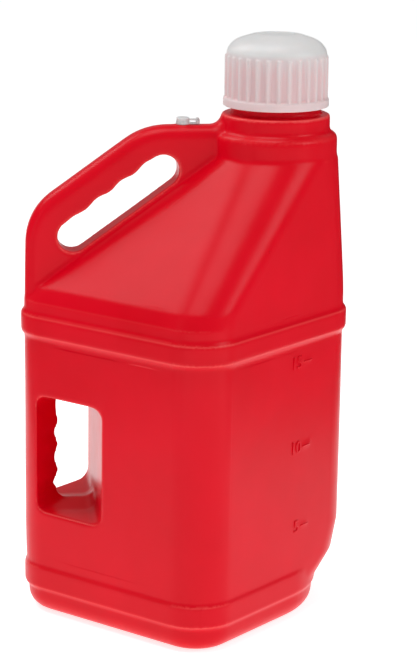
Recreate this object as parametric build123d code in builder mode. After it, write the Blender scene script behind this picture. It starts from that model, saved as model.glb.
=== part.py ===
from build123d import *
from math import cos, pi, radians, sin
import os

# A tall blow-moulded utility jug with a closed side grip, a top handle, a
# natural screw cap and a small flip-open air vent. Millimetres, +Z up. The
# origin is the middle of the square base, +X points to the corner that carries
# the neck, and Y = 0 is both the parting plane and the mirror plane.

# ---- upright walls and deck ------------------------------------------------
WALL = 3.0
HALF = 128.0                # from the axis to each upright face
CORNER = 43.0               # radius of the upright corners
FOOT_HALF = 125.5
FOOT_CORNER = 100.0         # the foot is cut back under the neck corner
FOOT_EDGE = 19.0            # rounding under the foot
DECK_Z = 335.0              # where the sloping deck starts
DECK_EASE = 7.0             # the deck's edge is eased over this height
DECK_DROP = 0.42            # lowers the inside of the deck for an even wall
BODY_LEVELS = (             # z, half width, radius of the +X corner
    (28.0, FOOT_HALF, FOOT_CORNER),
    (58.0, 127.2, 57.0),
    (90.0, 127.7, 44.0),
    (DECK_Z - DECK_EASE, HALF, CORNER),
)
DIAGONAL = 45.0             # the square stands on its diagonal

# ---- raised belts: low z, high z, half width, radius of the +X corner ------
BAND = (26.5, 51.0, 128.6, 103.0)
BEAD = (293.0, 315.5, 131.4, 46.4)
BELT_EDGE = 2.4

# ---- collar, neck ring and threaded mouth ----------------------------------
NECK_X = 89.8
COLLAR_Z = 471.0
COLLAR_R = 62.5
COLLAR_SIDE = 1.0           # straight part between the collar's arcs
COLLAR_TOP = 496.0
COLLAR_EDGE = 6.5
COLLAR_ROOT = (30.0, 14.0)  # depth and step of the taper hidden in the deck
RING_R = 54.8
RING_TOP = 514.0
RING_EDGE = 2.0
RING_LEDGE = 0.8            # the handle meets the ring this far under its top
FINISH_R = 45.0
LIP_Z = 571.0

# ---- screw thread ----------------------------------------------------------
LEAD = 8.0
THREAD_DEPTH = 2.3
THREAD_ROOT = 3.6
THREAD_CREST = 1.6
THREAD_SINK = 0.4           # the thread is sunk this far into its wall
THREAD_GAP = 0.35
NECK_THREAD = (540.0, 2.25)  # start z, turns
CAP_THREAD = (536.0, 2.0)

# ---- top handle ------------------------------------------------------------
HANDLE_HALF = 15.5
HANDLE_ROUND = 12.0
HANDLE_TOP = 502.5
HANDLE_HEEL = (-161.4, 416.8)
HANDLE_KNEE = (-42.8, HANDLE_TOP)
HANDLE_NECK = (NECK_X - RING_R - 0.6, HANDLE_TOP)
HANDLE_BENDS = ((HANDLE_HEEL, 62.0), (HANDLE_KNEE, 72.0), (HANDLE_NECK, 11.0))
HANDLE_OUTLINE = (
    (-162.6, 325.0),
    HANDLE_HEEL,
    HANDLE_KNEE,
    HANDLE_NECK,
    (NECK_X - RING_R, RING_TOP - RING_LEDGE),
    (NECK_X, RING_TOP - RING_LEDGE),
    (NECK_X, 440.0),
    (-60.0, 340.0),
)
SLOT_ORIGIN = (-101.8, 0.0, 381.7)
SLOT_TILT = 36.1
SLOT_R = 16.0
SLOT_SPAN = (-4.0, 107.5)   # centres of the slot's round ends
FINGER_FIRST = 7.5
FINGER_PITCH = 30.0
FINGER_WAVE = 1.3
FINGER_END = 0.6            # share of the wave left at the slot's low end
FINGER_POINTS = 7

# ---- side grip at the -X corner --------------------------------------------
GRIP_CREST_X = -131.0       # inner crest of the grip bar, on the parting plane
GRIP_FACE = (-153.4, 27.6)  # x and y where the bar meets the upright faces
GRIP_BACK_X = -92.0
GRIP_AT_CREST = (116.0, 229.0)
GRIP_AT_FACE = (110.5, 232.0)
GRIP_PITCH = 29.0
GRIP_WAVE = 1.6
GRIP_POINTS = 7
GRIP_CORNER = 11.0
GRIP_SLANT = 1.3            # wall allowance across the bar's slanted sides
GRIP_REACH = 140.0

# ---- graduations on the right-front face -----------------------------------
TICK_LEVELS = (100.1, 184.5, 272.9)
TICK_ACROSS = 38.0
TICK_SIZE = (12.0, 1.6)
TICK_RELIEF = 0.7

# ---- filler cap ------------------------------------------------------------
CAP_LOW = 521.5
CAP_LIP = (53.2, 529.0, 531.0)      # radius, straight up to, tapering in by
CAP_R = 50.3
CAP_SHOULDER_Z = 573.0
CAP_DOME = ((47.3, 581.2), (41.0, 586.8), (30.0, 590.9))
CAP_EYE = (18.5, 593.4, 1.3)        # radius, height and depth of the top dimple
CAP_WALL = 2.6
CAP_BORE = FINISH_R + THREAD_DEPTH + THREAD_GAP
SEAT = (39.4, 44.6, 574.0)          # seal skirt inside the dome, and its low end
SEAT_ROOTS = (587.0, 584.0)         # where the skirt's inner and outer sides meet the dome
CAP_RIBS = 30
CAP_RIB = (2.7, 0.9, 530.0, 572.0)  # radius, sunk by, low z, high z
GASKET = (38.6, 45.6)
GASKET_EDGE = 0.5

# ---- air vent --------------------------------------------------------------
VENT_X = -4.0
BOSS = (8.4, 0.5)           # flat seat on the handle: radius, height
FLANGE = (7.0, 2.6)
STEM = (4.6, 9.0)
VENT_BORE = 3.2
HEAD = (6.5, 4.4)
HEAD_EDGE = 1.2
PLUG = (2.8, 1.3, 4.6)      # radius at the head, radius at the tip, length
HINGE_X = 11.0
HINGE_Z = 507.6
STRAP = (5.0, 1.6)          # width, thickness
STRAP_GAP = 1.2             # strap's wide end to the hinge barrel
LINK_T = 1.4                # foot between the bushing's flange and its ears
BARREL = (1.5, 2.8)         # radius, length
PIN = (0.9, 6.0)
EAR = (1.8, 1.6, 1.6)       # radius, inner face from the middle, thickness
EAR_HOLE = 1.05


def square(half, corner, neck_corner, z, x=0.0):
    """Diagonal square with rounded corners and its own radius at the +X corner."""
    with BuildSketch(Plane((x, 0, z))) as outline:
        Rectangle(2 * half, 2 * half, rotation=DIAGONAL)
        fillet(outline.vertices().sort_by(Axis.X)[:-1], corner)
        fillet(outline.vertices().sort_by(Axis.X)[-1], neck_corner)
    return outline.sketch


def deck_section(z, inset):
    """Section of the sloping deck, where the square runs into the round collar."""
    share = (z - DECK_Z) / (COLLAR_Z - DECK_Z)
    half = HALF + share * (COLLAR_R + COLLAR_SIDE - HALF) - inset
    corner = CORNER + share * (COLLAR_R - CORNER) - inset
    return square(half, corner, corner, z - inset * DECK_DROP, share * NECK_X)


def walls_form(inset):
    """Upright walls on their rounded foot, with the deck above them."""
    foot = square(FOOT_HALF - inset, CORNER - inset, FOOT_CORNER - inset, inset)
    levels = [square(half - inset, CORNER - inset, neck - inset, z) for z, half, neck in BODY_LEVELS]
    deck = [deck_section(z, inset) for z in (DECK_Z + DECK_EASE, COLLAR_Z)]
    sections = [foot, *levels, *deck]
    with BuildPart() as walls:
        for lower, upper in zip(sections, sections[1:]):
            loft([lower, upper], ruled=True)
        fillet(walls.faces().sort_by(Axis.Z)[0].edges(), FOOT_EDGE - inset)
    return walls.part


def belt_form(low, high, half, neck_corner, inset):
    """Raised belt around the upright walls, with eased edges."""
    corner = CORNER + half - HALF - inset
    with BuildPart() as belt:
        section = square(half - inset, corner, neck_corner - inset, low + inset)
        extrude(section, amount=high - low - 2 * inset)
        fillet(belt.edges().filter_by(Plane.XY), BELT_EDGE)
    return belt.part


def neck_form(inset):
    """Collar, neck ring and mouth as one turned shape; the inside is open above."""
    depth, step = COLLAR_ROOT
    top = LIP_Z + WALL if inset else LIP_Z
    with BuildPart() as neck:
        with BuildSketch(Plane((NECK_X, 0, 0), x_dir=(1, 0, 0), z_dir=(0, -1, 0))) as profile:
            Polygon(
                (0, COLLAR_Z - depth),
                (COLLAR_R - inset - step, COLLAR_Z - depth),
                (COLLAR_R - inset, COLLAR_Z),
                (COLLAR_R - inset, COLLAR_TOP - inset),
                (RING_R - inset, COLLAR_TOP - inset),
                (RING_R - inset, RING_TOP - inset),
                (FINISH_R - inset, RING_TOP - inset),
                (FINISH_R - inset, top),
                (0, top),
            )
            shoulder = profile.vertices().sort_by_distance((COLLAR_R, COLLAR_TOP, 0))[0]
            fillet(shoulder, COLLAR_EDGE - inset)
            rim = profile.vertices().sort_by_distance((RING_R, RING_TOP, 0))[0]
            fillet(rim, RING_EDGE)
        revolve(axis=Axis((NECK_X, 0, 0), (0, 0, 1)))
    return neck.part


def slot_sketch(inset):
    """Hand slot of the top handle: round ends, and finger waves along the top outside."""
    start, end = SLOT_SPAN
    radius = SLOT_R + inset
    low, high = -inset, 2 * SLOT_R + inset
    rise = [FINGER_WAVE * cos(k * pi) for k in range(FINGER_POINTS)]
    rise[0] *= FINGER_END
    if inset:
        rise = [FINGER_WAVE] * FINGER_POINTS
    waves = [
        (FINGER_FIRST + k * FINGER_PITCH / 2, high + rise[k]) for k in reversed(range(FINGER_POINTS))
    ]
    along = (cos(radians(SLOT_TILT)), 0, sin(radians(SLOT_TILT)))
    with BuildSketch(Plane(SLOT_ORIGIN, x_dir=along, z_dir=(0, -1, 0))) as slot:
        with BuildLine():
            Line((start, low), (end, low))
            RadiusArc((end, low), (end, high), -radius)
            Spline((end, high), *waves, (start, high), tangents=[(-1, 0), (-1, 0)])
            RadiusArc((start, high), (start, low), -radius)
        make_face()
    return slot.sketch


def handle_form(inset):
    """Top handle plate in the mirror plane, with rounded edges all round."""
    with BuildSketch(Plane.XZ) as outline:
        Polygon(*HANDLE_OUTLINE)
        for (x, z), bend in HANDLE_BENDS:
            fillet(outline.vertices().sort_by_distance((x, z, 0))[0], bend)
        offset(amount=-inset)
    with BuildPart() as handle:
        extrude(outline.sketch, amount=HANDLE_HALF - inset, both=True)
        extrude(slot_sketch(inset), amount=HANDLE_HALF - inset, both=True, mode=Mode.SUBTRACT)
        fillet(handle.edges().filter_by(Plane.XZ), HANDLE_ROUND - inset)
    return handle.part


def grip_sketch(bar_x, levels, wave, y, inset):
    """Outline of the grip opening at one depth, waved on the side of the bar."""
    radius = GRIP_CORNER + inset
    low, high = levels[0] - inset, levels[1] + inset
    left, right = bar_x - GRIP_SLANT * inset, GRIP_BACK_X + inset
    middle = (low + high) / 2
    steps = [k - GRIP_POINTS // 2 for k in range(GRIP_POINTS)]
    waves = [(left + wave * cos(k * pi), middle + k * GRIP_PITCH / 2) for k in steps]
    with BuildSketch(Plane.XZ.offset(y)) as opening:
        with BuildLine():
            RadiusArc((left + radius, low), (left, low + radius), radius)
            Spline((left, low + radius), *waves, (left, high - radius), tangents=[(0, 1), (0, 1)])
            RadiusArc((left, high - radius), (left + radius, high), radius)
            Line((left + radius, high), (right - radius, high))
            RadiusArc((right - radius, high), (right, high - radius), radius)
            Line((right, high - radius), (right, low + radius))
            RadiusArc((right, low + radius), (right - radius, low), radius)
            Line((right - radius, low), (left + radius, low))
        make_face()
    return opening.sketch


def grip_form(inset):
    """Opening behind the side grip, drafted both ways from the parting plane."""
    face_x, face_y = GRIP_FACE
    at_crest = grip_sketch(GRIP_CREST_X, GRIP_AT_CREST, GRIP_WAVE, 0, inset)
    at_face = grip_sketch(face_x, GRIP_AT_FACE, 0, face_y, inset)
    with BuildPart() as opening:
        loft([at_crest, at_face])
        extrude(at_face, amount=GRIP_REACH - face_y)
        mirror(about=Plane.XZ)
    return opening.part


def jug_form(inset):
    """Whole jug as a solid: its outside, or its inside when inset is the wall."""
    with BuildPart() as form:
        add(walls_form(inset))
        add(belt_form(*BAND, inset))
        add(belt_form(*BEAD, inset))
        add(neck_form(inset))
        add(handle_form(inset))
        add(grip_form(inset), mode=Mode.SUBTRACT)
    return form.part


def thread_form(radius, start, turns, depth):
    """Screw thread on a wall of this radius; a negative depth points inward."""
    helix = Helix(pitch=LEAD, height=LEAD * turns, radius=radius, center=(NECK_X, 0, start))
    sink = -THREAD_SINK if depth > 0 else THREAD_SINK
    with BuildPart() as thread:
        with BuildSketch(Plane(helix @ 0, x_dir=(1, 0, 0), z_dir=helix % 0)) as section:
            Polygon(
                (sink, -THREAD_ROOT / 2),
                (0, -THREAD_ROOT / 2),
                (depth, -THREAD_CREST / 2),
                (depth, THREAD_CREST / 2),
                (0, THREAD_ROOT / 2),
                (sink, THREAD_ROOT / 2),
            )
        sweep(sections=section.sketch, path=helix, is_frenet=True)
    return thread.part


def turned(points):
    """Closed profile of radius and height, turned about the neck's axis."""
    with BuildPart() as body:
        with BuildSketch(Plane((NECK_X, 0, 0), x_dir=(1, 0, 0), z_dir=(0, -1, 0))):
            Polygon(*points)
        revolve(axis=Axis((NECK_X, 0, 0), (0, 0, 1)))
    return body.part


def cap_skin(inset):
    """Dome and skirt of the cap: its outside, or its inside when inset is the wall."""
    eye_r, eye_z, eye_depth = CAP_EYE
    lip_r, lip_z, lip_end = CAP_LIP
    skirt = CAP_BORE if inset else CAP_R
    floor_z = eye_z - eye_depth - inset
    with BuildPart() as skin:
        with BuildSketch(Plane((NECK_X, 0, 0), x_dir=(1, 0, 0), z_dir=(0, -1, 0))):
            with BuildLine():
                dome = Spline(
                    (skirt, CAP_SHOULDER_Z),
                    *[(r - inset, z - inset) for r, z in CAP_DOME],
                    (eye_r, eye_z - inset),
                    tangents=[(0, 1), (-1, 0.12)],
                )
                Polyline(dome @ 1, (eye_r - eye_depth, floor_z), (0, floor_z))
                if inset:
                    Polyline((0, floor_z), (0, CAP_LOW - inset), (skirt, CAP_LOW - inset), dome @ 0)
                else:
                    Polyline(
                        (0, floor_z),
                        (0, CAP_LOW),
                        (lip_r, CAP_LOW),
                        (lip_r, lip_z),
                        (skirt, lip_end),
                        dome @ 0,
                    )
            make_face()
        revolve(axis=Axis((NECK_X, 0, 0), (0, 0, 1)))
    return skin.part


# ---- jug body: one hollow moulding -----------------------------------------
tick_length, tick_height = TICK_SIZE
right_front = Plane((0, 0, 0), x_dir=(1, 1, 0), z_dir=(1, -1, 0)).offset(HALF - 1)
with BuildPart() as jug_body:
    add(jug_form(0))
    add(jug_form(WALL), mode=Mode.SUBTRACT)
    add(thread_form(FINISH_R, *NECK_THREAD, THREAD_DEPTH))
    with BuildSketch(right_front):
        with Locations(*[(TICK_ACROSS, z) for z in TICK_LEVELS]):
            Rectangle(tick_length, tick_height)
    extrude(amount=TICK_RELIEF + 1)
    boss_r, boss_rise = BOSS
    with BuildSketch(Plane((VENT_X, 0, HANDLE_TOP + boss_rise))):
        Circle(boss_r)
    extrude(amount=-(WALL + boss_rise))
    with BuildSketch(Plane((VENT_X, 0, HANDLE_TOP + boss_rise))):
        Circle(STEM[0])
    extrude(amount=-(STEM[1]), mode=Mode.SUBTRACT)
jug_body.part.label = "jug_body"

# ---- filler cap and its gasket ---------------------------------------------
rib_r, rib_sunk, rib_low, rib_high = CAP_RIB
seat_in, seat_out, seat_z = SEAT
root_in, root_out = SEAT_ROOTS
with BuildPart() as filler_cap:
    add(cap_skin(0))
    with BuildSketch(Plane((NECK_X, 0, rib_low))):
        with PolarLocations(CAP_R - rib_sunk, CAP_RIBS):
            Circle(rib_r)
    extrude(amount=rib_high - rib_low)
    add(cap_skin(CAP_WALL), mode=Mode.SUBTRACT)
    add(turned([(seat_in, seat_z), (seat_out, seat_z), (seat_out, root_out), (seat_in, root_in)]))
    add(thread_form(CAP_BORE, *CAP_THREAD, -THREAD_DEPTH))
filler_cap.part.label = "filler_cap"

gasket_in, gasket_out = GASKET
with BuildPart() as cap_gasket:
    with BuildSketch(Plane((NECK_X, 0, LIP_Z))):
        Circle(gasket_out)
        Circle(gasket_in, mode=Mode.SUBTRACT)
    extrude(amount=seat_z - LIP_Z)
    fillet(cap_gasket.edges(), GASKET_EDGE)
cap_gasket.part.label = "cap_gasket"

# ---- vent bushing pressed into the top of the handle -----------------------
seat_top = HANDLE_TOP + BOSS[1]
flange_r, flange_t = FLANGE
stem_r, stem_length = STEM
ear_r, ear_inner, ear_t = EAR
with BuildPart() as vent_bushing:
    with BuildSketch(Plane((VENT_X, 0, seat_top))):
        Circle(flange_r)
    extrude(amount=flange_t)
    with BuildSketch(Plane((VENT_X, 0, seat_top))):
        Circle(stem_r)
    extrude(amount=-stem_length)
    with BuildSketch(Plane((0, 0, seat_top))):
        with Locations((HINGE_X / 2, 0)):
            Rectangle(HINGE_X, 2 * (ear_inner + ear_t))
    extrude(amount=LINK_T)
    for side in (-1, 1):
        with BuildSketch(Plane.XZ.offset(side * (ear_inner + ear_t / 2))):
            with Locations((HINGE_X, HINGE_Z)):
                Circle(ear_r)
            with Locations((HINGE_X, (HINGE_Z + seat_top) / 2)):
                Rectangle(2 * ear_r, HINGE_Z - seat_top)
            with Locations((HINGE_X, HINGE_Z)):
                Circle(EAR_HOLE, mode=Mode.SUBTRACT)
        extrude(amount=ear_t / 2, both=True)
    with Locations((VENT_X, 0, seat_top)):
        Hole(VENT_BORE)
vent_bushing.part.label = "vent_bushing"

# ---- vent cap: plug, head, strap and hinge barrel in one piece -------------
head_r, head_t = HEAD
plug_r, plug_tip, plug_length = PLUG
strap_width, strap_t = STRAP
barrel_r, barrel_length = BARREL
pin_r, pin_length = PIN
head_z = seat_top + flange_t
with BuildPart() as vent_cap:
    with BuildSketch(Plane((VENT_X, 0, head_z))):
        Circle(head_r)
    extrude(amount=head_t)
    fillet(vent_cap.edges().sort_by(Axis.Z)[-1], HEAD_EDGE)
    with BuildSketch(Plane((VENT_X, 0, head_z))) as plug_root:
        Circle(plug_r)
    with BuildSketch(Plane((VENT_X, 0, head_z - plug_length))) as plug_end:
        Circle(plug_tip)
    loft([plug_root.sketch, plug_end.sketch])
    with BuildSketch(Plane((0, 0, HINGE_Z - strap_t / 2))):
        wide_end = HINGE_X - barrel_r - STRAP_GAP
        with Locations(((VENT_X + wide_end) / 2, 0)):
            Rectangle(wide_end - VENT_X, strap_width)
        with Locations(((VENT_X + HINGE_X) / 2, 0)):
            Rectangle(HINGE_X - VENT_X, barrel_length)
    extrude(amount=strap_t)
    with BuildSketch(Plane.XZ):
        with Locations((HINGE_X, HINGE_Z)):
            Circle(barrel_r)
    extrude(amount=barrel_length / 2, both=True)
    with BuildSketch(Plane.XZ):
        with Locations((HINGE_X, HINGE_Z)):
            Circle(pin_r)
    extrude(amount=pin_length / 2, both=True)
vent_cap.part.label = "vent_cap"

os.makedirs("parts", exist_ok=True)
export_step(jug_body.part, "parts/jug_body.step")
export_step(filler_cap.part, "parts/filler_cap.step")
export_step(cap_gasket.part, "parts/cap_gasket.step")
export_step(vent_bushing.part, "parts/vent_bushing.step")
export_step(vent_cap.part, "parts/vent_cap.step")
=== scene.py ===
"""Utility fluid jug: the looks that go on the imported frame.

A tall red blow-moulded jug with a side grip, a top handle, a natural screw cap
and a flip-open air vent. The blow-moulded skin and the small mouldings are
softened copies of the frame's own solids, so sizes and places come from it.
"""
import math

import bmesh
import bpy
from mathutils import Matrix, Vector, noise
from mathutils.bvhtree import BVHTree


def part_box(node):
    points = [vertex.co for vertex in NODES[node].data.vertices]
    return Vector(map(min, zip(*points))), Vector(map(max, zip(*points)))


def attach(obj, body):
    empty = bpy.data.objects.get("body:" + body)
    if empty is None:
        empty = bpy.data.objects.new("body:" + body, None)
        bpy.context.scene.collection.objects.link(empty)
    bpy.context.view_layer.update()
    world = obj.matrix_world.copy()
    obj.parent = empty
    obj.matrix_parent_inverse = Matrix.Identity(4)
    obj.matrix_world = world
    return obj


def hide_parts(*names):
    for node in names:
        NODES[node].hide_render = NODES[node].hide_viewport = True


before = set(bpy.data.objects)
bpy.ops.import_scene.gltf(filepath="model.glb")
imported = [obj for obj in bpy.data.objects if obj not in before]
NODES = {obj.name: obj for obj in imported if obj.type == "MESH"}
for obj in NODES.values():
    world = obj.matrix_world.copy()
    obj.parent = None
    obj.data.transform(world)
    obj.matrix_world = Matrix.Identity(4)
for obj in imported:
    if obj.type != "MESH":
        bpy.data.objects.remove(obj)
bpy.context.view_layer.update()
MM = 0.001

# ---- places read from the frame --------------------------------------------
CAP_LOW, CAP_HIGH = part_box("filler_cap")
BUSH_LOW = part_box("vent_bushing")[0]
FLANGE_R = 7.0 * MM                 # the vent bushing's flange, round the vent's axis
NECK_X = (CAP_LOW[0] + CAP_HIGH[0]) / 2
LIP_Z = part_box("jug_body")[1][2]
VENT_X = BUSH_LOW[0] + FLANGE_R


# ---- scene: camera, floor, lights ------------------------------------------
def add_object(name, data):
    piece = bpy.data.objects.new(name, data)
    bpy.context.scene.collection.objects.link(piece)
    return piece


def make_camera():
    """Seen from the front left and a little above, at the photograph's angle."""
    yaw, rise, roll, distance = -0.12911, 0.24141, 0.01305, 2.4544
    target = Vector((24.70 * MM, 0.0, 291.19 * MM))
    back = Vector((
        math.sin(yaw) * math.cos(rise), -math.cos(yaw) * math.cos(rise), math.sin(rise),
    ))
    right = (-back).cross(Vector((0, 0, 1))).normalized()
    up = right.cross(-back)
    right, up = (
        right * math.cos(roll) + up * math.sin(roll),
        up * math.cos(roll) - right * math.sin(roll),
    )
    camera = bpy.data.cameras.new("view")
    camera.sensor_fit = "VERTICAL"
    camera.sensor_height = 36.0
    camera.lens = 131.3
    camera.clip_start = 0.05
    camera.clip_end = 60.0
    holder = add_object("view", camera)
    turn = Matrix((right, up, back)).transposed().to_4x4()
    holder.matrix_world = Matrix.Translation(target + back * distance) @ turn
    bpy.context.scene.camera = holder


def area_light(name, place, target, size, power, colour=(1.0, 1.0, 1.0)):
    lamp = bpy.data.lights.new(name, "AREA")
    lamp.shape = "RECTANGLE"
    lamp.size, lamp.size_y = size
    lamp.energy = power
    lamp.color = colour
    holder = add_object(name, lamp)
    aim = (Vector(target) - Vector(place)).to_track_quat("-Z", "Y")
    holder.matrix_world = Matrix.Translation(place) @ aim.to_matrix().to_4x4()


def dark_card(name, x, reach, height):
    """Black card beside the object, seen only in its gloss, as in a photo studio."""
    near, far = reach
    sheet = bpy.data.meshes.new(name)
    corners = [(x, near, 0), (x, far, 0), (x, far, height), (x, near, height)]
    sheet.from_pydata(corners, [], [(0, 1, 2, 3)])
    card = add_object(name, sheet)
    black = bpy.data.materials.new(name)
    tree = node_tree(black)
    output = tree.nodes.new("ShaderNodeOutputMaterial")
    paint = tree.nodes.new("ShaderNodeBsdfDiffuse")
    paint.inputs["Color"].default_value = (0.01, 0.01, 0.01, 1.0)
    tree.links.new(paint.outputs["BSDF"], output.inputs["Surface"])
    sheet.materials.append(black)
    card.visible_camera = card.visible_diffuse = card.visible_shadow = False
    card.visible_transmission = False


def node_tree(material):
    material.use_nodes = True
    tree = material.node_tree
    tree.nodes.clear()
    return tree


def make_studio():
    world = bpy.data.worlds.new("studio")
    bpy.context.scene.world = world
    world.use_nodes = True
    sky = world.node_tree.nodes["Background"]
    sky.inputs["Color"].default_value = (1.0, 1.0, 1.0, 1.0)
    sky.inputs["Strength"].default_value = 0.30

    plane = bpy.data.meshes.new("floor")
    far = 20.0
    corners = [(-far, -far, 0), (far, -far, 0), (far, far, 0), (-far, far, 0)]
    plane.from_pydata(corners, [], [(0, 1, 2, 3)])
    floor = add_object("floor", plane)
    pale = bpy.data.materials.new("pale_floor")
    tree = node_tree(pale)
    output = tree.nodes.new("ShaderNodeOutputMaterial")
    paint = tree.nodes.new("ShaderNodeBsdfPrincipled")
    paint.inputs["Base Color"].default_value = (0.86, 0.86, 0.86, 1.0)
    paint.inputs["Roughness"].default_value = 0.9
    paint.inputs["Specular IOR Level"].default_value = 0.1
    paint.inputs["Emission Color"].default_value = (1.0, 1.0, 1.0, 1.0)
    paint.inputs["Emission Strength"].default_value = 0.74
    tree.links.new(paint.outputs["BSDF"], output.inputs["Surface"])
    plane.materials.append(pale)

    area_light("key", (2.2, -1.3, 1.9), (0.05, 0, 0.3), (1.2, 1.2), 20.0)
    area_light("top", (-0.3, -0.4, 2.6), (0.02, 0, 0.4), (1.3, 1.3), 22.0)
    area_light("left", (-2.2, -1.2, 1.0), (0.0, 0, 0.3), (0.5, 1.6), 2.5)
    area_light("back", (-1.4, 0.8, 2.1), (0.0, 0, 0.4), (1.2, 1.2), 16.0)
    dark_card("right_card", 0.75, (-0.45, 2.0), 0.9)
    dark_card("left_card", -0.75, (-1.0, 1.6), 0.9)
    bpy.context.scene.view_settings.view_transform = "Standard"


# ---- materials --------------------------------------------------------------
class Paint:
    """A node material with one Principled shader and helpers around it."""

    def __init__(self, name):
        self.material = bpy.data.materials.new(name)
        self.tree = node_tree(self.material)
        output = self.add("OutputMaterial")
        self.shader = self.add("BsdfPrincipled")
        self.join(self.shader, "BSDF", output, "Surface")
        self.place = self.add("TexCoord")

    def add(self, kind, **values):
        node = self.tree.nodes.new("ShaderNode" + kind)
        for key, value in values.items():
            setattr(node, key, value)
        return node

    def join(self, node, out, target, into):
        self.tree.links.new(node.outputs[out], target.inputs[into])

    def set(self, **values):
        for key, value in values.items():
            self.shader.inputs[key.replace("_", " ")].default_value = value

    def noise(self, scale, detail=2.0, roughness=0.5, stretch=(1.0, 1.0, 1.0)):
        """Noise in object space, scale in features a metre."""
        spread = self.add("Mapping")
        spread.inputs["Scale"].default_value = stretch
        self.join(self.place, "Object", spread, "Vector")
        cloud = self.add("TexNoise")
        cloud.inputs["Scale"].default_value = scale
        cloud.inputs["Detail"].default_value = detail
        cloud.inputs["Roughness"].default_value = roughness
        self.join(spread, "Vector", cloud, "Vector")
        return cloud

    def ramp(self, source, out, stops):
        """Colour ramp over a value: stops are (position, colour)."""
        ramp = self.add("ValToRGB")
        marks = ramp.color_ramp.elements
        while len(marks) < len(stops):
            marks.new(0.5)
        for mark, (position, colour) in zip(marks, stops):
            mark.position = position
            mark.color = (*colour, 1.0)
        self.join(source, out, ramp, "Fac")
        return ramp

    def tint_by(self, attribute, under, colour):
        """Base colour: a ramp's colour, turned to another where an attribute is 1."""
        amount = self.add("Attribute", attribute_name=attribute)
        node = self.add("Mix", data_type="RGBA")
        self.tree.links.new(amount.outputs["Fac"], node.inputs[0])
        self.tree.links.new(under.outputs["Color"], node.inputs[6])
        node.inputs[7].default_value = (*colour, 1.0)
        self.tree.links.new(node.outputs[2], self.shader.inputs["Base Color"])

    def bump(self, height, out, strength, distance, under=None):
        node = self.add("Bump")
        node.inputs["Strength"].default_value = strength
        node.inputs["Distance"].default_value = distance
        self.join(height, out, node, "Height")
        if under is not None:
            self.join(under, "Normal", node, "Normal")
        return node


def red_plastic():
    """Red HDPE: satin, slightly mottled, with a painted pale highlight along its eased ridges and
    edges.
    """
    paint = Paint("red_hdpe")
    paint.set(
        Subsurface_Weight=0.10,
        Subsurface_Radius=(1.0, 0.10, 0.10),
        Subsurface_Scale=3.0 * MM,
        IOR=1.5,
        Specular_IOR_Level=0.15,
    )
    cloud = paint.noise(9.0, 3.0, 0.55)
    body = paint.ramp(cloud, "Fac", [(0.3, (0.66, 0.0002, 0.009)), (0.7, (0.74, 0.0004, 0.013))])
    # painted highlight: the eased ridges and edges turn pale salmon red
    paint.tint_by("ridge_highlight", body, (0.93, 0.13, 0.12))
    gloss = paint.noise(38.0, 4.0, 0.6)
    sheen = paint.add("MapRange")
    sheen.inputs["To Min"].default_value = 0.25
    sheen.inputs["To Max"].default_value = 0.35
    paint.join(gloss, "Fac", sheen, "Value")
    paint.join(sheen, "Result", paint.shader, "Roughness")
    skin = paint.noise(900.0, 3.0, 0.6)
    flow = paint.noise(26.0, 2.0, 0.5, (1.0, 1.0, 0.35))
    grain = paint.bump(skin, "Fac", 0.10, 0.15 * MM)
    waves = paint.bump(flow, "Fac", 0.25, 1.2 * MM, grain)
    paint.join(waves, "Normal", paint.shader, "Normal")
    return paint.material


def natural_plastic(name, tint, glow, neck_show_through_colour=None):
    """Natural polyethylene: milky, with the light passing through, and where a colour is given, the
    red neck behind it painted on as a pink show-through.
    """
    paint = Paint(name)
    paint.set(
        Roughness=0.36,
        IOR=1.48,
        Subsurface_Weight=0.55,
        Subsurface_Radius=(1.0, 0.85, 0.8),
        Subsurface_Scale=5.0 * MM,
        Transmission_Weight=glow,
        Specular_IOR_Level=0.4,
    )
    cloud = paint.noise(60.0, 3.0, 0.5)
    milk = paint.ramp(cloud, "Fac", [
        (0.3, tuple(0.96 * c for c in tint)), (0.7, tint),
    ])
    # painted show-through: the red neck behind the cap, painted on as pink
    if neck_show_through_colour:
        paint.tint_by("neck_show_through", milk, neck_show_through_colour)
    else:
        paint.join(milk, "Color", paint.shader, "Base Color")
    skin = paint.noise(1400.0, 3.0, 0.6)
    grain = paint.bump(skin, "Fac", 0.08, 0.12 * MM)
    paint.join(grain, "Normal", paint.shader, "Normal")
    return paint.material


def seal_rubber():
    paint = Paint("seal_rubber")
    paint.set(IOR=1.5, Specular_IOR_Level=0.3, Subsurface_Weight=0.2, Subsurface_Scale=1.0 * MM)
    dust = paint.noise(420.0, 4.0, 0.6)
    tone = paint.ramp(dust, "Fac", [(0.3, (0.52, 0.50, 0.46)), (0.7, (0.62, 0.60, 0.56))])
    paint.join(tone, "Color", paint.shader, "Base Color")
    worn = paint.ramp(dust, "Fac", [(0.2, (0.55,) * 3), (0.8, (0.72,) * 3)])
    paint.join(worn, "Color", paint.shader, "Roughness")
    grain = paint.bump(dust, "Fac", 0.3, 0.1 * MM)
    paint.join(grain, "Normal", paint.shader, "Normal")
    return paint.material


# ---- mesh helpers -----------------------------------------------------------
WELD = 1e-7                         # points nearer than this are one point
PART_SOFTNESS = 3                   # smoothing passes for the small mouldings
CAP_VOXEL = 0.75 * MM
VENT_VOXEL = 0.22 * MM


def mesh_of(bm, name):
    mesh = bpy.data.meshes.new(name)
    bm.to_mesh(mesh)
    bm.free()
    return mesh


def welded(node):
    """The frame node's mesh as a bmesh, with its faces joined into one surface."""
    bm = bmesh.new()
    bm.from_mesh(NODES[node].data)
    bmesh.ops.remove_doubles(bm, verts=bm.verts, dist=WELD)
    return bm


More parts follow.
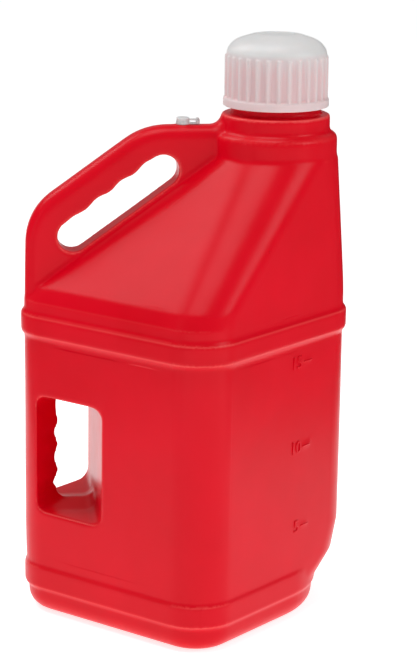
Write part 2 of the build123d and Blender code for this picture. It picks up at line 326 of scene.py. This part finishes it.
def islands(bm):
    """Groups of vertices joined by the edges of faces."""
    bm.verts.index_update()
    seen, groups = set(), []
    for start in bm.verts:
        if start.index in seen:
            continue
        seen.add(start.index)
        stack, group = [start], []
        while stack:
            vert = stack.pop()
            group.append(vert)
            for edge in vert.link_edges:
                other = edge.other_vert(vert)
                if edge.link_faces and other.index not in seen:
                    seen.add(other.index)
                    stack.append(other)
        groups.append(group)
    return groups


def apply_modifiers(mesh, steps):
    """Runs (type, settings) modifiers on a mesh and returns the result."""
    holder = add_object("work", mesh)
    for kind, settings in steps:
        step = holder.modifiers.new(kind, kind)
        for key, value in settings.items():
            setattr(step, key, value)
    graph = bpy.context.evaluated_depsgraph_get()
    result = bpy.data.meshes.new_from_object(holder.evaluated_get(graph))
    bpy.data.objects.remove(holder)
    return result


def remeshed(mesh, voxel, softness):
    """Even mesh of the same solid, with its edges eased over a few voxels."""
    return apply_modifiers(mesh, [
        ("REMESH", {"mode": "VOXEL", "voxel_size": voxel, "adaptivity": 0.0}),
        ("SMOOTH", {"factor": 0.5, "iterations": softness}),
    ])


def thinned(mesh, triangles):
    """The mesh brought down to about this many triangles."""
    now = sum(len(p.vertices) - 2 for p in mesh.polygons)
    if now <= triangles:
        return mesh
    return apply_modifiers(mesh, [("DECIMATE", {"ratio": triangles / now})])


def smooth_shade(mesh):
    mesh.shade_smooth()
    return mesh


def softened(name, node, voxel, triangles, body, material):
    """A frame node's moulding with eased edges, standing in for that node."""
    mesh = mesh_of(welded(node), name)
    mesh = smooth_shade(thinned(remeshed(mesh, voxel, PART_SOFTNESS), triangles))
    mesh.name = name
    mesh.materials.clear()
    mesh.materials.append(material)
    piece = add_object(name, mesh)
    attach(piece, body)
    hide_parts(node)
    return piece


# ---- the blow-moulded skin ---------------------------------------------------
SKIN_CUT = LIP_Z - 51.5 * MM        # the neck above it stays as the frame has it
SKIN_VOXEL = 1.8 * MM
SKIN_SOFTNESS = 10
SKIN_TRIANGLES = 118000
CUT_SLACK = 0.2 * MM
HOLE_R = 4.6 * MM
HOLE_REACH = 6.2 * MM
HOLE_LOW = BUSH_LOW[2] - 6.0 * MM
FACET = 0.22 * MM                   # facets of the frame count for nothing
SHRINK = 0.7 * MM                   # depth of an eased edge that gets the full painted highlight


def from_vent(co):
    return math.hypot(co.x - VENT_X, co.y)


def is_lip(face):
    return all(v.co.z > LIP_Z - 0.01 * MM for v in face.verts)


def is_hole(face):
    return all(from_vent(v.co) < HOLE_R + 0.1 * MM and v.co.z > HOLE_LOW for v in face.verts)


def outside_of_jug():
    """The jug's outside as a closed surface, and the numbers of its vertices."""
    bm = welded("jug_body")
    bmesh.ops.delete(bm, geom=[f for f in bm.faces if is_lip(f) or is_hole(f)], context="FACES_ONLY")
    outside = min(islands(bm), key=lambda group: min(v.co.z for v in group))
    numbers = {v.index for v in outside}
    bmesh.ops.delete(bm, geom=[v for v in bm.verts if v.index not in numbers], context="VERTS")
    bmesh.ops.holes_fill(bm, edges=[e for e in bm.edges if e.is_boundary], sides=0)
    return bm, numbers


def inside_and_neck(numbers):
    """The rest of the jug's mesh: its inside, its lip and its threaded neck."""
    bm = welded("jug_body")
    mark = bm.faces.layers.int.new("skin")
    bm.verts.index_update()
    skin = [
        f for f in bm.faces
        if all(v.index in numbers for v in f.verts) and not is_lip(f) and not is_hole(f)
    ]
    parts = dict.fromkeys(skin)
    for face in skin:
        face[mark] = 1
        parts.update(dict.fromkeys(face.verts))
        parts.update(dict.fromkeys(face.edges))
    bmesh.ops.bisect_plane(
        bm, geom=list(parts), plane_co=(0, 0, SKIN_CUT), plane_no=(0, 0, 1), dist=WELD,
    )
    below = [f for f in bm.faces if f[mark] and f.calc_center_median().z < SKIN_CUT]
    bmesh.ops.delete(bm, geom=below, context="FACES")
    return bm


def wavy(mesh):
    """Slight, slow waviness of blow-moulded walls, none at the foot and neck."""
    moved = []
    for vert in mesh.vertices:
        co = vert.co
        fade = min(1.0, co.z / (40 * MM)) * min(1.0, max(0.0, (SKIN_CUT - co.z) / (60 * MM)))
        slow = noise.noise(Vector((co.x * 9.0, co.y * 9.0, co.z * 7.0)))
        fine = noise.noise(Vector((co.x * 26.0, co.y * 26.0, co.z * 20.0 + 7.0)))
        moved.extend(co + vert.normal * fade * (0.5 * slow + 0.12 * fine) * MM)
    mesh.vertices.foreach_set("co", moved)
    mesh.update()


def ridge_values(mesh, tree):
    """How far each point was eased in from the sharp moulding, 0 to 1: the amount of painted
    highlight there.
    """
    values = []
    for vert in mesh.vertices:
        near = tree.find_nearest(vert.co)[0]
        gap = (near - vert.co).dot(vert.normal)
        values.append(min(1.0, max(0.0, (gap - FACET) / SHRINK)))
    return values


def open_loops(bm, test):
    """Loops of open edges whose ends pass the test, each as vertices in order."""
    links = {}
    for edge in bm.edges:
        if edge.is_boundary and all(test(v.co) for v in edge.verts):
            first, second = edge.verts
            links.setdefault(first, []).append(second)
            links.setdefault(second, []).append(first)
    loops = []
    while links:
        here = next(iter(links))
        loop = []
        while here in links:
            loop.append(here)
            here = next((v for v in links.pop(here) if v in links), None)
        loops.append(loop)
    return sorted(loops, key=len)[-2:]


def zip_loops(bm, loops, centre_x):
    """Joins two open loops round an upright axis with one strip of triangles."""
    def bearing(vert):
        return math.atan2(vert.co.y, vert.co.x - centre_x)

    rings = []
    for loop in loops:
        start = min(range(len(loop)), key=lambda k: bearing(loop[k]))
        loop = loop[start:] + loop[:start]
        if bearing(loop[len(loop) // 4]) > bearing(loop[len(loop) * 3 // 4]):
            loop = [loop[0]] + loop[:0:-1]
        last = (loop[0], bearing(loop[0]) + 2 * math.pi)
        rings.append([(v, bearing(v)) for v in loop] + [last])
    one, two = rings
    i = j = 0
    while i < len(one) - 1 or j < len(two) - 1:
        if j == len(two) - 1 or (i < len(one) - 1 and one[i + 1][1] <= two[j + 1][1]):
            corners = (one[i][0], one[i + 1][0], two[j][0])
            i += 1
        else:
            corners = (two[j][0], two[j + 1][0], one[i][0])
            j += 1
        bm.faces.new(corners)


def jug_skin(material):
    """The jug in one closed skin: eased outside, thick wall, threaded mouth."""
    sharp, numbers = outside_of_jug()
    tree = BVHTree.FromBMesh(sharp)
    rest = inside_and_neck(numbers)
    outside = remeshed(mesh_of(sharp, "outside"), SKIN_VOXEL, SKIN_SOFTNESS)
    outside = thinned(outside, SKIN_TRIANGLES)
    highlight_amounts = ridge_values(outside, tree)
    wavy(outside)
    # the painted highlight's amount, kept on the skin for the red paint
    store = outside.attributes.new("ridge_highlight", "FLOAT", "POINT")
    store.data.foreach_set("value", highlight_amounts)

    skin = bmesh.new()
    skin.from_mesh(outside)
    bmesh.ops.bisect_plane(
        skin, geom=list(skin.verts) + list(skin.edges) + list(skin.faces),
        plane_co=(0, 0, SKIN_CUT), plane_no=(0, 0, 1), dist=1e-6, clear_outer=True,
    )
    middles = [(f, f.calc_center_median()) for f in skin.faces]
    around = [f for f, at in middles if at.z > HOLE_LOW and from_vent(at) < HOLE_REACH]
    bmesh.ops.delete(skin, geom=around, context="FACES")
    skin.from_mesh(mesh_of(rest, "inside"))
    at_neck = open_loops(skin, lambda co: abs(co.z - SKIN_CUT) < CUT_SLACK)
    zip_loops(skin, at_neck, NECK_X)
    at_vent = open_loops(skin, lambda co: from_vent(co) < 2 * HOLE_R and co.z > HOLE_LOW)
    zip_loops(skin, at_vent, VENT_X)
    bmesh.ops.triangulate(skin, faces=skin.faces)
    bmesh.ops.recalc_face_normals(skin, faces=skin.faces)
    mesh = smooth_shade(mesh_of(skin, "jug_skin"))
    mesh.materials.clear()
    mesh.materials.append(material)
    piece = add_object("jug_skin", mesh)
    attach(piece, "jug")
    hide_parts("jug_body")
    return piece


# ---- filler cap -----------------------------------------------------------------
CAP_VALLEY = (CAP_HIGH[0] - CAP_LOW[0]) / 2 - 2.9 * MM    # radius between the ribs
CAP_RIB = 1.8 * MM
SHOW_THROUGH_REACH = 6.0 * MM                 # the painted pink of the red neck behind the cap fades out this far each side of the lip
VALLEY_SHARE = 0.45


def neck_show_through_amounts(mesh):
    """How much painted pink of the red neck behind the cap to show: beside the neck, most between
    the ribs.
    """
    values = []
    for vert in mesh.vertices:
        radius = math.hypot(vert.co.x - NECK_X, vert.co.y)
        low = min(1.0, max(0.0, (LIP_Z + SHOW_THROUGH_REACH - vert.co.z) / (2 * SHOW_THROUGH_REACH)))
        rib = min(1.0, max(0.0, (radius - CAP_VALLEY) / CAP_RIB))
        values.append(low * (1.0 - VALLEY_SHARE * rib))
    return values


def screw_cap(material):
    cap = softened("screw_cap", "filler_cap", CAP_VOXEL, 120000, "cap", material)
    # the painted pink of the red neck behind the cap, kept on the cap for its paint
    store = cap.data.attributes.new("neck_show_through", "FLOAT", "POINT")
    store.data.foreach_set("value", neck_show_through_amounts(cap.data))


# ---- graduations --------------------------------------------------------------
# height, number and bar length, in millimetres like the rest of this part
MARKS = ((100.1, "5", 12.6), (184.5, "10", 12.6), (272.9, "15", 14.0))
MARK_ACROSS = 38.0
DIGIT_HEIGHT = 13.0
DIGIT_SHARE = 0.72                  # a digit's height in the font's size
DIGIT_GAP = 2.5
TICK_HEIGHT = 1.7
MARK_RELIEF = 0.7


def digit_outline(text):
    """Raised digits as a mesh in millimetres, upright in x and y, from z 0."""
    curve = bpy.data.curves.new("digits", "FONT")
    curve.body = text
    curve.align_x = "RIGHT"
    curve.align_y = "CENTER"
    curve.size = DIGIT_HEIGHT / DIGIT_SHARE
    curve.extrude = MARK_RELIEF
    curve.bevel_depth = 0.22
    curve.bevel_resolution = 2
    curve.resolution_u = 6
    holder = add_object("digits", curve)
    graph = bpy.context.evaluated_depsgraph_get()
    mesh = bpy.data.meshes.new_from_object(holder.evaluated_get(graph))
    bpy.data.objects.remove(holder)
    return mesh


def tick_bar(bm, left, level, length):
    """Rounded bar for one graduation, in millimetres."""
    made = bmesh.ops.create_cube(bm, size=1.0)["verts"]
    bmesh.ops.scale(bm, verts=made, vec=(length, TICK_HEIGHT, 2 * MARK_RELIEF))
    bmesh.ops.translate(bm, verts=made, vec=(left + length / 2, level, 0))
    edges = list(dict.fromkeys(e for v in made for e in v.link_edges))
    bmesh.ops.bevel(bm, geom=edges, offset=0.45, segments=3, profile=0.5, affect="EDGES")


def graduations(skin, material):
    """Three raised bars and their numbers, laid on the right-front wall."""
    bm = bmesh.new()
    for level, text, length in MARKS:
        left = MARK_ACROSS - length / 2
        digits = digit_outline(text)
        digits.transform(Matrix.Translation((left - DIGIT_GAP, level, 0)))
        bm.from_mesh(digits)
        tick_bar(bm, left, level, length)
    bmesh.ops.remove_doubles(bm, verts=bm.verts, dist=0.001)
    bmesh.ops.dissolve_degenerate(bm, edges=bm.edges, dist=0.001)
    tree = BVHTree.FromPolygons(
        [v.co for v in skin.data.vertices], [p.vertices for p in skin.data.polygons],
    )
    along = Vector((1, 1, 0)).normalized()
    inward = Vector((-1, 1, 0)).normalized()
    for vert in bm.verts:
        across, level, relief = vert.co
        start = along * across * MM - inward * 0.4 + Vector((0, 0, level * MM))
        hit = tree.ray_cast(start, inward)[0]
        vert.co = hit - inward * relief * MM
    bmesh.ops.triangulate(bm, faces=bm.faces)
    mesh = smooth_shade(mesh_of(bm, "graduation_marks"))
    mesh.materials.append(material)
    piece = add_object("graduation_marks", mesh)
    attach(piece, "jug")
    return piece


# ---- everything together -------------------------------------------------------
make_camera()
make_studio()
red = red_plastic()
# the cap's pink is the red neck behind it, painted on
milky = natural_plastic("natural_cap", (0.97, 0.94, 0.93), 0.30, (1.0, 0.68, 0.69))
clear = natural_plastic("natural_vent", (0.82, 0.83, 0.83), 0.18)
rubber = seal_rubber()

skin = jug_skin(red)
graduations(skin, red)
screw_cap(milky)
softened("vent_seat", "vent_bushing", VENT_VOXEL, 16000, "jug", clear)
softened("vent_flap", "vent_cap", VENT_VOXEL, 16000, "vent", clear)
gasket = NODES["cap_gasket"]
gasket.data.materials.clear()
gasket.data.materials.append(rubber)
